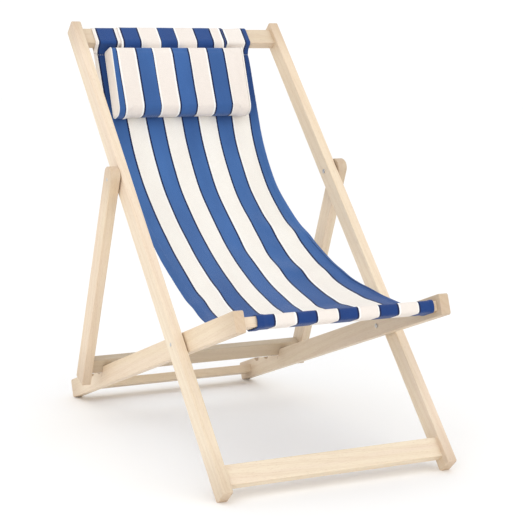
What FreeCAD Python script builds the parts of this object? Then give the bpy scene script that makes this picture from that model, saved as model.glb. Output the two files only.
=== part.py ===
import FreeCAD, Part
import math
import os

# Folding sling deck chair. Millimetres, +Z up, the sitter faces -Y, left/right along X.
# Each frame is drawn flat in its own axes and then turned about X into place:
#   back frame: along = up the rails from the feet, out = forwards
#   seat frame: along = rearwards from the pivot,   out = upwards
#   prop:       along = up the legs from the pivot, out = forwards
V = FreeCAD.Vector
X_AXIS = V(1, 0, 0)

# ---- driving dimensions ------------------------------------------------------
BACK_LEAN = 46.5          # angle of each frame above the floor, degrees
SEAT_FALL = 20.0
PROP_LEAN = 111.5

RAIL_T = 22.0             # thickness of every rail along X
BACK_X, SEAT_X, PROP_X = 254.0, 229.0, 279.0     # rail centre planes
BACK_W, SEAT_W, PROP_W = 42.0, 44.0, 42.0        # rail widths
BACK_LEN = 1215.0
SEAT_FRONT, SEAT_REAR = 263.0, 720.0             # from the seat pivot
PROP_TOP, PROP_BOTTOM = 28.0, 522.0              # from the prop pivot
SEAT_PIVOT_AT, PROP_PIVOT_AT = 345.3, 769.2      # along the back rails

BAR_T, BAR_W = 20.0, 44.0                        # cross members
FOOT_BAR_AT, TOP_BAR_AT = 39.0, 1179.0
FRONT_BAR_AT, REAR_BAR_AT = -226.0, 677.0
PROP_BAR_AT, PROP_BAR_W = -481.5, 36.0

EASE = 2.0                # rounding of long wooden edges
END_R = 5.0               # rounding of rail end corners

BOLT_R, RUN_GAP, PRESS = 4.0, 0.05, 0.02
WASHER_R, WASHER_T = 9.0, 2.4
SCREW_R, HEAD_R, HEAD_T = 2.5, 4.0, 2.0
DOWEL_R, DOWEL_L, DOWEL_GAP = 4.0, 36.0, 22.0

CLOTH_T = 2.0
HEM_GAP = 0.6             # clearance of the cloth pocket round its bar
SLING_TOP = (-218.0, 177.0)
SLING_LOW = (-190.0, 212.0)
SLING_TWIST = 11.0        # the right edge hangs this much higher near the seat

PAD_X = (-194.0, 141.0)
PAD_H, PAD_T, PAD_R = 160.0, 43.0, 17.0
PAD_TILT = 20.5           # the pad leans back with the cloth behind it
PAD_TOP = (798.0, 836.5)  # its upper back edge: behind the feet line, above the floor
PAD_SKIN = 1.6
STRAP_X = (-156.0, 112.0)
STRAP_T, STRAP_DROP = 1.6, 120.0
SKIRT = 18.2              # how far the strap hangs below the top rail in front

FLOOR_SHIFT = -452.23     # centres the chair over the origin, front to back


def turn(point, degrees):
    a = math.radians(degrees)
    return (point[0] * math.cos(a) - point[1] * math.sin(a),
            point[0] * math.sin(a) + point[1] * math.cos(a))


def shifted(base, along, out, degrees):
    dy, dz = turn((along, out), degrees)
    return (base[0] + dy, base[1] + dz)


BACK_FOOT = (FLOOR_SHIFT, math.cos(math.radians(BACK_LEAN)) * BACK_W / 2)
SEAT_PIVOT = shifted(BACK_FOOT, SEAT_PIVOT_AT, 0, BACK_LEAN)
PROP_PIVOT = shifted(BACK_FOOT, PROP_PIVOT_AT, 0, BACK_LEAN)
FRAMES = {
    "back": (BACK_FOOT, BACK_LEAN),
    "seat": (SEAT_PIVOT, -SEAT_FALL),
    "prop": (PROP_PIVOT, PROP_LEAN),
}


def place(shape, frame):
    base, degrees = FRAMES[frame]
    out = shape.copy()
    out.Placement = FreeCAD.Placement(V(0, base[0], base[1]), FreeCAD.Rotation(X_AXIS, degrees))
    return out


def spot(frame, along, out=0.0):
    base, degrees = FRAMES[frame]
    return shifted(base, along, out, degrees)


# ---- wood ----------------------------------------------------------------------
def plank(x_mid, thick, a0, a1, width, end_r=0.0, ease=EASE):
    """A board lying along its frame, with rounded end corners and eased edges."""
    body = Part.makeBox(thick, a1 - a0, width, V(x_mid - thick / 2, a0, -width / 2))
    if end_r:
        ends = [e for e in body.Edges if abs(e.tangentAt(e.FirstParameter).x) > 0.99]
        body = body.makeFillet(end_r, ends)
    if ease:
        sides = [e for e in body.Edges
                 if abs(e.CenterOfMass.x - x_mid) > thick / 2 - 0.01]
        body = body.makeFillet(ease, sides)
    return body


def hole(x0, x1, along, radius, out=0.0):
    return Part.makeCylinder(radius, x1 - x0, V(x0, along, out), X_AXIS)


def crossbar(half, along, width):
    """A flat bar between two rails, eased along its length."""
    body = Part.makeBox(2 * half, width, BAR_T, V(-half, along - width / 2, -BAR_T / 2))
    long_edges = [e for e in body.Edges if abs(e.tangentAt(e.FirstParameter).x) > 0.99]
    return body.makeFillet(EASE, long_edges)


def dowel_places(along):
    return [along - DOWEL_GAP / 2, along + DOWEL_GAP / 2]


def dowels(half, along):
    """Two hidden dowels at each end of a crossbar, half in the bar, half in the rail."""
    pins = []
    for side in (-1, 1):
        x0 = side * half - DOWEL_L / 2
        for a in dowel_places(along):
            pins.append(Part.makeCylinder(DOWEL_R, DOWEL_L, V(x0, a, 0), X_AXIS))
    return Part.makeCompound(pins)


def dowel_holes(half, along):
    """The blind holes those dowels sit in, a press smaller than the dowels."""
    cuts = []
    for side in (-1, 1):
        x0 = side * half - DOWEL_L / 2
        for a in dowel_places(along):
            cuts.append(Part.makeCylinder(DOWEL_R - PRESS, DOWEL_L, V(x0, a, 0), X_AXIS))
    return cuts


def floor_trim(shape):
    """Takes the sliver below the floor off a foot, leaving a small level pad."""
    box = Part.makeBox(1200, 3000, 100, V(-600, -1500, -100))
    return shape.cut(box)


def back_rail(side):
    x = side * BACK_X
    rail = plank(x, RAIL_T, -4.0, BACK_LEN, BACK_W, END_R)
    cuts = [hole(x - 20, x + 20, a, BOLT_R - PRESS) for a in (SEAT_PIVOT_AT, PROP_PIVOT_AT)]
    inner = BACK_X - RAIL_T / 2
    cuts += dowel_holes(inner, FOOT_BAR_AT) + dowel_holes(inner, TOP_BAR_AT)
    return floor_trim(place(rail.cut(cuts), "back"))


# Top edge of the seat rail along the three-position rack, rear end first.
# Steep walls face rearwards and stop the prop bar; the crests rise towards the rear.
RACK = [
    (631.0, 24.0), (628.0, 21.4), (620.0, 12.6), (607.0, 11.4), (601.0, 19.0), (592.0, 18.2),
    (572.0, 16.2), (566.0, 9.6), (553.0, 8.9), (547.0, 14.3), (538.0, 13.2),
    (524.0, 11.4), (517.0, 8.5), (492.0, 8.0), (479.4, 22.0), (477.6, 24.0),
]


def rack_cut(x):
    points = [V(x - 15, a, out) for a, out in RACK]
    points.append(points[0])
    face = Part.Face(Part.makePolygon(points))
    return face.extrude(V(30, 0, 0))


def seat_rail(side):
    x = side * SEAT_X
    rail = plank(x, RAIL_T, -SEAT_FRONT, SEAT_REAR, SEAT_W, END_R)
    inner = SEAT_X - RAIL_T / 2
    cuts = [hole(x - 20, x + 20, 0, BOLT_R + RUN_GAP), rack_cut(x)]
    cuts += dowel_holes(inner, FRONT_BAR_AT) + dowel_holes(inner, REAR_BAR_AT)
    return floor_trim(place(rail.cut(cuts), "seat"))


def prop_leg(side):
    x = side * PROP_X
    leg = plank(x, RAIL_T, -PROP_BOTTOM, PROP_TOP, PROP_W, 0.0, 0.0)
    top = [e for e in leg.Edges if abs(e.tangentAt(e.FirstParameter).x) > 0.99
           and e.CenterOfMass.y > 0]
    leg = leg.makeFillet(18.0, top)
    sides = [e for e in leg.Edges if abs(e.CenterOfMass.x - x) > RAIL_T / 2 - 0.01]
    leg = leg.makeFillet(EASE, sides)
    cuts = [hole(x - 20, x + 20, 0, BOLT_R + RUN_GAP)]
    cuts += dowel_holes(PROP_X - RAIL_T / 2, PROP_BAR_AT)
    return place(leg.cut(cuts), "prop")


def bar_with_dowels(half, along, width, frame):
    bar = crossbar(half, along, width).cut(dowel_holes(half, along))
    return place(bar, frame), place(dowels(half, along), frame)


# ---- pivot fasteners -----------------------------------------------------------
def sleeve_nut(x0, x1, head_x, side):
    """A plain barrel through both rails, threaded inside for the screw."""
    lo, hi = min(side * x0, side * x1), max(side * x0, side * x1)
    body = Part.makeCylinder(BOLT_R, hi - lo, V(lo, 0, 0), X_AXIS)
    rim = [e for e in body.Edges if e.Closed and abs(e.CenterOfMass.x - side * x1) < 0.01]
    body = body.makeFillet(0.6, rim)
    bore = Part.makeCylinder(SCREW_R - PRESS, hi - lo - 6.0,
                             V(lo if side * head_x < side * x1 else lo, 0, 0), X_AXIS)
    if side < 0:
        bore.translate(V(6.0, 0, 0))
    slot = Part.makeBox(1.6, 1.2, 9.0, V(side * x1 - 0.8, -0.6, -4.5))
    return body.cut([bore, slot])


def pivot_screw(x0, x1, side):
    """A round-headed screw entering the sleeve from its open end at x0."""
    depth = (x1 - x0) - 8.0
    lo = side * x0 if side > 0 else side * x0 - depth
    shank = Part.makeCylinder(SCREW_R, depth, V(lo, 0, 0), X_AXIS)
    head_lo = side * x0 - (HEAD_T if side > 0 else 0)
    head = Part.makeCylinder(HEAD_R + 0.8, HEAD_T, V(head_lo, 0, 0), X_AXIS)
    outer_x = side * (x0 - HEAD_T)
    rim = [e for e in head.Edges if e.Closed and abs(e.CenterOfMass.x - outer_x) < 0.01]
    head = head.makeFillet(1.2, rim)
    socket = Part.makePolygon([V(outer_x, 1.5 * math.cos(math.radians(60 * k)),
                                 1.5 * math.sin(math.radians(60 * k))) for k in range(7)])
    socket = Part.Face(socket).extrude(V(side * 1.2, 0, 0))
    return shank.fuse(head).cut(socket)


def washer(x_mid, side):
    lo = side * x_mid - WASHER_T / 2
    disc = Part.makeCylinder(WASHER_R, WASHER_T, V(lo, 0, 0), X_AXIS)
    return disc.cut(Part.makeCylinder(BOLT_R + 0.2, WASHER_T, V(lo, 0, 0), X_AXIS))


def at_pivot(shape, pivot):
    out = shape.copy()
    out.translate(V(0, pivot[0], pivot[1]))
    return out


# ---- cloth ---------------------------------------------------------------------
# Side view of the hanging cloth between its two pockets: distance behind the front
# of the chair's feet line and height above the floor, top first.
SLING_HANG = [
    (790.0, 808.0), (774.0, 764.0), (757.0, 718.0), (737.0, 670.0), (711.0, 614.0),
    (680.0, 566.0), (645.0, 521.0), (603.0, 480.0), (552.0, 440.0), (495.0, 402.0),
    (430.0, 367.0), (365.0, 338.0), (300.0, 318.0), (240.0, 308.0), (185.0, 306.0),
    (130.0, 313.0), (88.0, 327.0),
]


def twist(y):
    """How far the cloth is lifted at its right edge, as a share, by place along it."""
    t = (y - 60.0) / 420.0
    return math.sin(math.pi * t) ** 2 if 0 < t < 1 else 0.0


def hang_line(side):
    """The cloth's middle line in side view, from inside the top pocket's wall
    to inside the front pocket's wall."""
    reach = HEM_GAP + CLOTH_T / 2
    top = spot("back", TOP_BAR_AT - BAR_W / 2 + 4, -BAR_T / 2 - reach)
    low = spot("seat", FRONT_BAR_AT + BAR_W / 2 - 4, BAR_T / 2 + reach)
    mid = [(y + FLOOR_SHIFT, z + side * SLING_TWIST * twist(y)) for y, z in SLING_HANG]
    return [top] + mid + [low]


def offset_line(points, distance):
    out = []
    for i, p in enumerate(points):
        a = points[max(i - 1, 0)]
        b = points[min(i + 1, len(points) - 1)]
        dy, dz = b[0] - a[0], b[1] - a[1]
        size = math.hypot(dy, dz)
        out.append((p[0] - dz / size * distance, p[1] + dy / size * distance))
    return out


def spline(points, x):
    curve = Part.BSplineCurve()
    curve.interpolate([V(x, y, z) for y, z in points])
    return curve.toShape()


def hang_wire(side, x):
    line = hang_line(side)
    upper = offset_line(line, CLOTH_T / 2)
    lower = offset_line(line, -CLOTH_T / 2)
    a, b = spline(upper, x), spline(lower[::-1], x)
    e1 = Part.makeLine(V(x, *upper[-1]), V(x, *lower[-1]))
    e2 = Part.makeLine(V(x, *lower[0]), V(x, *upper[0]))
    return Part.Wire([a, e1, b, e2])


def pocket(x0, x1, along):
    """The stitched pocket round a bar: a closed sleeve of cloth, open at its ends."""
    def block(grow, radius):
        w, t = BAR_W + 2 * grow, BAR_T + 2 * grow
        box = Part.makeBox(x1 - x0, w, t, V(x0, along - w / 2, -t / 2))
        edges = [e for e in box.Edges if abs(e.tangentAt(e.FirstParameter).x) > 0.99]
        return box.makeFillet(radius, edges)
    return block(HEM_GAP + CLOTH_T, 3.6).cut(block(HEM_GAP, 1.8))


def sling():
    """One cloth: pocket on the top rail, hanging sheet, pocket on the front bar.
    It hangs slightly askew, so each pocket sits at its own place along X."""
    left = hang_wire(-1, SLING_TOP[0])
    right = hang_wire(1, SLING_TOP[0] + (SLING_LOW[1] - SLING_LOW[0]))
    sheet = Part.makeLoft([left, right], True, True)
    skew = FreeCAD.Matrix()
    drop = spot("back", TOP_BAR_AT)[1] - spot("seat", FRONT_BAR_AT)[1]
    lean = (SLING_TOP[0] - SLING_LOW[0]) / drop
    skew.A13 = lean
    skew.A14 = SLING_LOW[0] - SLING_TOP[0] - lean * spot("seat", FRONT_BAR_AT)[1]
    sheet = sheet.transformGeometry(skew)
    top = place(pocket(SLING_TOP[0], SLING_TOP[1], TOP_BAR_AT), "back")
    low = place(pocket(SLING_LOW[0], SLING_LOW[1], FRONT_BAR_AT), "seat")
    return sheet.fuse([top, low])


# ---- headrest ------------------------------------------------------------------
def pad_block(shrink):
    """The pad drawn upright: top edge at z = 0, back face at y = 0."""
    s = shrink
    box = Part.makeBox(PAD_X[1] - PAD_X[0] - 2 * s, PAD_T - 2 * s, PAD_H - 2 * s,
                       V(PAD_X[0] + s, -PAD_T + s, -PAD_H + s))
    return box.makeFillet(PAD_R - s, box.Edges)


def set_pad(shape):
    out = shape.copy()
    out.Placement = FreeCAD.Placement(V(0, PAD_TOP[0] + FLOOR_SHIFT, PAD_TOP[1]),
                                      FreeCAD.Rotation(X_AXIS, -PAD_TILT))
    return out


def strap_block(grow, radius):
    x0, x1 = STRAP_X
    w, t = BAR_W + 2 * grow, BAR_T + 2 * grow
    box = Part.makeBox(x1 - x0, w, t, V(x0, TOP_BAR_AT - w / 2, -t / 2))
    edges = [e for e in box.Edges if abs(e.tangentAt(e.FirstParameter).x) > 0.99]
    return box.makeFillet(radius, edges)


def strap():
    """A flap over the top rail, outside the sling's pocket. In front it hangs down to
    the pad it carries, behind it hangs free as a counterweight."""
    x0, x1 = STRAP_X
    inner = HEM_GAP + CLOTH_T + 0.7
    outer = inner + STRAP_T
    low_edge = TOP_BAR_AT - BAR_W / 2
    hood = strap_block(outer, 5.6).cut(strap_block(inner, 4.0))
    deep = BAR_T / 2 + outer
    under = Part.makeBox(x1 - x0, 40.0, 2 * deep, V(x0, low_edge - 42.0, -deep))
    behind = Part.makeBox(x1 - x0, 40.0, deep, V(x0, low_edge - 34.0, -deep))
    hood = place(hood.cut([under, behind]), "back")
    mid = deep - STRAP_T / 2
    y, z = spot("back", low_edge + 7.0, -mid)
    tail = Part.makeBox(x1 - x0, STRAP_T, STRAP_DROP, V(x0, y - STRAP_T / 2, z - STRAP_DROP))
    y, z = spot("back", low_edge - 1.0, mid)
    drop = z - (spot("back", low_edge, BAR_T / 2)[1] - SKIRT)
    skirt = Part.makeBox(x1 - x0, STRAP_T, drop, V(x0, y - STRAP_T / 2, z - drop))
    return hood.fuse([tail, skirt])


def build():
    parts = {}
    for name, side in (("left", -1), ("right", 1)):
        parts["back_rail_" + name] = back_rail(side)
        parts["seat_rail_" + name] = seat_rail(side)
        parts["prop_leg_" + name] = prop_leg(side)
        inner = SEAT_X - RAIL_T / 2
        outer = BACK_X + RAIL_T / 2
        parts["seat_pivot_sleeve_" + name] = at_pivot(
            sleeve_nut(inner, outer + 0.8, inner, side), SEAT_PIVOT)
        parts["seat_pivot_screw_" + name] = at_pivot(
            pivot_screw(inner - 0.4, outer + 0.8, side), SEAT_PIVOT)
        parts["seat_pivot_washer_" + name] = at_pivot(
            washer((SEAT_X + BACK_X) / 2, side), SEAT_PIVOT)
        inner = BACK_X - RAIL_T / 2
        outer = PROP_X + RAIL_T / 2
        parts["prop_pivot_sleeve_" + name] = at_pivot(
            sleeve_nut(inner, outer + 0.8, inner, side), PROP_PIVOT)
        parts["prop_pivot_screw_" + name] = at_pivot(
            pivot_screw(inner - 0.4, outer + 0.8, side), PROP_PIVOT)
        parts["prop_pivot_washer_" + name] = at_pivot(
            washer((BACK_X + PROP_X) / 2, side), PROP_PIVOT)
    bars = {
        "foot_crossbar": (BACK_X - RAIL_T / 2, FOOT_BAR_AT, BAR_W, "back"),
        "top_rail": (BACK_X - RAIL_T / 2, TOP_BAR_AT, BAR_W, "back"),
        "seat_front_bar": (SEAT_X - RAIL_T / 2, FRONT_BAR_AT, BAR_W, "seat"),
        "seat_rear_bar": (SEAT_X - RAIL_T / 2, REAR_BAR_AT, BAR_W, "seat"),
        "prop_bar": (PROP_X - RAIL_T / 2, PROP_BAR_AT, PROP_BAR_W, "prop"),
    }
    for name, (half, along, width, frame) in bars.items():
        parts[name], parts[name + "_dowels"] = bar_with_dowels(half, along, width, frame)
    parts["sling"] = sling()
    cover = pad_block(0.0).cut(pad_block(PAD_SKIN))
    parts["headrest_cover"] = set_pad(cover)
    parts["headrest_filling"] = set_pad(pad_block(PAD_SKIN + 0.1))
    parts["headrest_strap"] = strap()
    return parts


os.makedirs("parts", exist_ok=True)
for part_name, part_shape in build().items():
    part_shape.exportStep("parts/" + part_name + ".step")
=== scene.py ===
import math
import bpy
import numpy as np
from mathutils import Matrix, Vector, noise
from mathutils.bvhtree import BVHTree


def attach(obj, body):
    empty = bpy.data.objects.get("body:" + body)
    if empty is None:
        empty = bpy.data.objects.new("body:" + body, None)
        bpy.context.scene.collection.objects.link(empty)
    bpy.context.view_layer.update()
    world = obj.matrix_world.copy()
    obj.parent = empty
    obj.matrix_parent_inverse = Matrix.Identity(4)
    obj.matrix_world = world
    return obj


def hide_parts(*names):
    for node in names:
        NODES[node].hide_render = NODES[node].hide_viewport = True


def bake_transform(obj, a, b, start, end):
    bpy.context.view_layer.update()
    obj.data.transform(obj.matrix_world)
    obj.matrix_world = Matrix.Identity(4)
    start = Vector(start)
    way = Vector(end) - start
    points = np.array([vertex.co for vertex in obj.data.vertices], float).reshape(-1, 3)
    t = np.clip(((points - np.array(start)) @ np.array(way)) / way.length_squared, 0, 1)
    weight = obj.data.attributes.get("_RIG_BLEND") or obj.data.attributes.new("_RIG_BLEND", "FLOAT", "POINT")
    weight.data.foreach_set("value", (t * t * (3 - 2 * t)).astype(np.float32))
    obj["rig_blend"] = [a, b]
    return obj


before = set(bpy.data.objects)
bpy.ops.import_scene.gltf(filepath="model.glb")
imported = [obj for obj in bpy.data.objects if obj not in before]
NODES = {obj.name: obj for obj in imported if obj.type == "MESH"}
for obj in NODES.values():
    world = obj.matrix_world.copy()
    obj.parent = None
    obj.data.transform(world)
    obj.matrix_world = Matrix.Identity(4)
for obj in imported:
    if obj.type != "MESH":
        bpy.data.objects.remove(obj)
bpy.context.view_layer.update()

# ---- the chair's frames, in metres: (origin y, z), angle of "along" above the floor ----
FEET_Y = -0.45223            # the feet line that the hanging profile is measured from
BACK_LEAN, SEAT_FALL, PROP_LEAN = 46.5, 20.0, 111.5
BACK_W = 0.042               # width of the back rails
SEAT_PIVOT_AT, PROP_PIVOT_AT = 0.3453, 0.7692    # along the back rails
BACK_FOOT = (FEET_Y, BACK_W / 2 * math.cos(math.radians(BACK_LEAN)))
FRAMES = {"back": (BACK_FOOT, BACK_LEAN)}
TOP_BAR_AT, FRONT_BAR_AT = 1.179, -0.226
FOLD_ANGLE = 66.4            # the seat frame's travel, degrees


def spot(name, along, out=0.0):
    base, degrees = FRAMES[name]
    a = math.radians(degrees)
    return (base[0] + along * math.cos(a) - out * math.sin(a),
            base[1] + along * math.sin(a) + out * math.cos(a))


SEAT_PIVOT, PROP_PIVOT = spot("back", SEAT_PIVOT_AT), spot("back", PROP_PIVOT_AT)
FRAMES["seat"] = (SEAT_PIVOT, -SEAT_FALL)
FRAMES["prop"] = (PROP_PIVOT, PROP_LEAN)


# ---- materials ---------------------------------------------------------------------
def srgb(r, g, b):
    def lin(c):
        c /= 255.0
        return c / 12.92 if c <= 0.04045 else ((c + 0.055) / 1.055) ** 2.4
    return (lin(r), lin(g), lin(b), 1.0)


class Nodes:
    """Shorthand for building a material's node tree."""

    def __init__(self, name):
        self.mat = bpy.data.materials.new(name)
        self.mat.use_nodes = True
        self.tree = self.mat.node_tree
        self.tree.nodes.clear()
        self.out = self.new("OutputMaterial")
        self.bsdf = self.new("BsdfPrincipled")
        self.link(self.bsdf, "BSDF", self.out, "Surface")

    def new(self, kind, **props):
        node = self.tree.nodes.new("ShaderNode" + kind)
        for key, value in props.items():
            setattr(node, key, value)
        return node

    def link(self, a, out, b, into):
        self.tree.links.new(a.outputs[out], b.inputs[into])

    def feed(self, socket, value):
        """Sets a socket to a constant, or links another node's output to it."""
        if isinstance(value, (int, float, tuple)):
            socket.default_value = value
        else:
            self.tree.links.new(value, socket)

    def math(self, op, a, b=None):
        node = self.new("Math", operation=op)
        self.feed(node.inputs[0], a)
        if b is not None:
            self.feed(node.inputs[1], b)
        return node.outputs[0]

    def vec(self, op, a, b):
        node = self.new("VectorMath", operation=op)
        self.feed(node.inputs[0], a)
        self.feed(node.inputs[1], b)
        return node.outputs[0]

    def noise(self, vector, scale, detail=2.0, rough=0.5, distortion=0.0):
        node = self.new("TexNoise")
        node.inputs["Scale"].default_value = scale
        node.inputs["Detail"].default_value = detail
        node.inputs["Roughness"].default_value = rough
        node.inputs["Distortion"].default_value = distortion
        self.tree.links.new(vector, node.inputs["Vector"])
        return node.outputs[0]

    def ramp(self, value, stops, kind="LINEAR"):
        node = self.new("ValToRGB")
        node.color_ramp.interpolation = kind
        el = node.color_ramp.elements
        while len(el) < len(stops):
            el.new(1.0)
        for e, (at, colour) in zip(el, stops):
            e.position = at
            e.color = colour if isinstance(colour, tuple) else (colour,) * 3 + (1.0,)
        self.tree.links.new(value, node.inputs[0])
        return node.outputs[0]

    def mix(self, share, a, b, blend="MIX"):
        node = self.new("Mix", data_type="RGBA", blend_type=blend)
        for socket, value in (("Factor_Float", share), ("A_Color", a), ("B_Color", b)):
            self.feed(next(i for i in node.inputs if i.identifier == socket), value)
        return node.outputs[2]

    def bump(self, height, distance, strength):
        node = self.new("Bump")
        node.inputs["Distance"].default_value = distance
        node.inputs["Strength"].default_value = strength
        self.tree.links.new(height, node.inputs["Height"])
        return node.outputs[0]

    def split(self, vector):
        node = self.new("SeparateXYZ")
        self.tree.links.new(vector, node.inputs[0])
        return node.outputs

    def join(self, x, y, z):
        node = self.new("CombineXYZ")
        for socket, value in zip(node.inputs, (x, y, z)):
            self.feed(socket, value)
        return node.outputs[0]

    def finish(self, colour, rough, normal=None):
        self.tree.links.new(colour, self.bsdf.inputs["Base Color"])
        self.feed(self.bsdf.inputs["Roughness"], rough)
        if normal is not None:
            self.tree.links.new(normal, self.bsdf.inputs["Normal"])
        return self.mat


WOOD_PALE = srgb(239, 224, 200)
WOOD_MID = srgb(231, 211, 182)
WOOD_DARK = srgb(206, 176, 138)
WOOD_ROSE = srgb(232, 210, 192)
# painted shade for the inside of the rack's notches
WOOD_NOTCH_SHADE = srgb(168, 136, 98)
RACK = (0.477, 0.632, 0.0232)      # the notches along a seat rail, and under its top
RACK_WALL = ((0.4794, 0.022), (0.492, 0.008))    # its steep end, which stops the bar
# Painted shade: how much darker some pieces are painted all over, for the shade they sit in
SHADE_TONES = {"prop_bar": 0.72, "seat_rear_bar": 0.89, "top_rail": 0.85, "seat_rail_right": 0.88,
         "prop_leg_right": 0.86}
END_GRAIN = (0.80, 0.745, 0.70, 1.0)    # the cut ends drink more of the finish
HANDLED = (0.68, 0.62, 0.57, 1.0)       # and the rails are a little darker towards them
HANDLED_SPAN = 0.11                     # over this many metres
NOTCH_SHADE_LINE, NOTCH_SHADE_LINE_SHARE = 0.0013, 0.6    # a painted shade line this wide either side of the wall
NOTCH_SHADE_SHARE, RING_SHARE, FIBRE_SHARE, FLECK_SHARE, ROSE_SHARE = 0.7, 0.22, 0.18, 0.30, 0.55
WOOD_FLECK = srgb(176, 138, 98)
SEED_STEP = 0.618                       # each piece is cut from another place in the grain


def notch_shade_share(m, place, degrees, rack):
    """Painted shade in the rack's notches: 1 on faces cut across a rail between two places along
    it and below a top, and less on a thin line at the rack's steep wall."""
    turn = m.new("Mapping")
    turn.inputs["Rotation"].default_value = (math.radians(-degrees), 0.0, 0.0)
    m.link(place, "Object", turn, "Vector")
    a = math.radians(degrees)
    base_along = SEAT_PIVOT[0] * math.cos(a) + SEAT_PIVOT[1] * math.sin(a)
    base_out = SEAT_PIVOT[1] * math.cos(a) - SEAT_PIVOT[0] * math.sin(a)
    at = m.split(turn.outputs[0])
    start, end, top = rack
    inside = m.math("MULTIPLY", m.math("GREATER_THAN", at[1], base_along + start),
                    m.math("LESS_THAN", at[1], base_along + end))
    inside = m.math("MULTIPLY", inside, m.math("LESS_THAN", at[2], base_out + top))
    inside = m.math("MULTIPLY", inside, m.math("GREATER_THAN", at[2], base_out))
    face = m.new("NewGeometry")
    sideways = m.math("ABSOLUTE", m.split(face.outputs["True Normal"])[0])
    cut = m.math("MULTIPLY", inside, m.math("LESS_THAN", sideways, 0.5))
    (a0, o0), (a1, o1) = RACK_WALL
    size = math.hypot(a1 - a0, o1 - o0)
    na, no = (o0 - o1) / size, (a1 - a0) / size
    level = m.math("ADD", m.math("MULTIPLY", at[1], na), m.math("MULTIPLY", at[2], no))
    level = m.math("SUBTRACT", level, (base_along + a0) * na + (base_out + o0) * no)
    edge = m.math("MULTIPLY", m.math("LESS_THAN", m.math("ABSOLUTE", level), NOTCH_SHADE_LINE),
                  m.math("MULTIPLY", inside, NOTCH_SHADE_LINE_SHARE))
    return m.math("MAXIMUM", cut, edge)


def along_axis(m, vector, axis):
    """How much of a vector points along an axis."""
    parts = m.split(m.vec("MULTIPLY", vector, axis))
    return m.math("ADD", m.math("ADD", parts[0], parts[1]), parts[2])


def wood_axis(degrees, across):
    """Which way a rail or bar runs."""
    slope = math.radians(degrees)
    return (1.0, 0.0, 0.0) if across else (0.0, math.cos(slope), math.sin(slope))


def wood_ends(obj, axis):
    """Where a rail starts and stops along its own axis, in metres."""
    at = [v.co.dot(Vector(axis)) for v in obj.data.vertices]
    return min(at), max(at)


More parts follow.
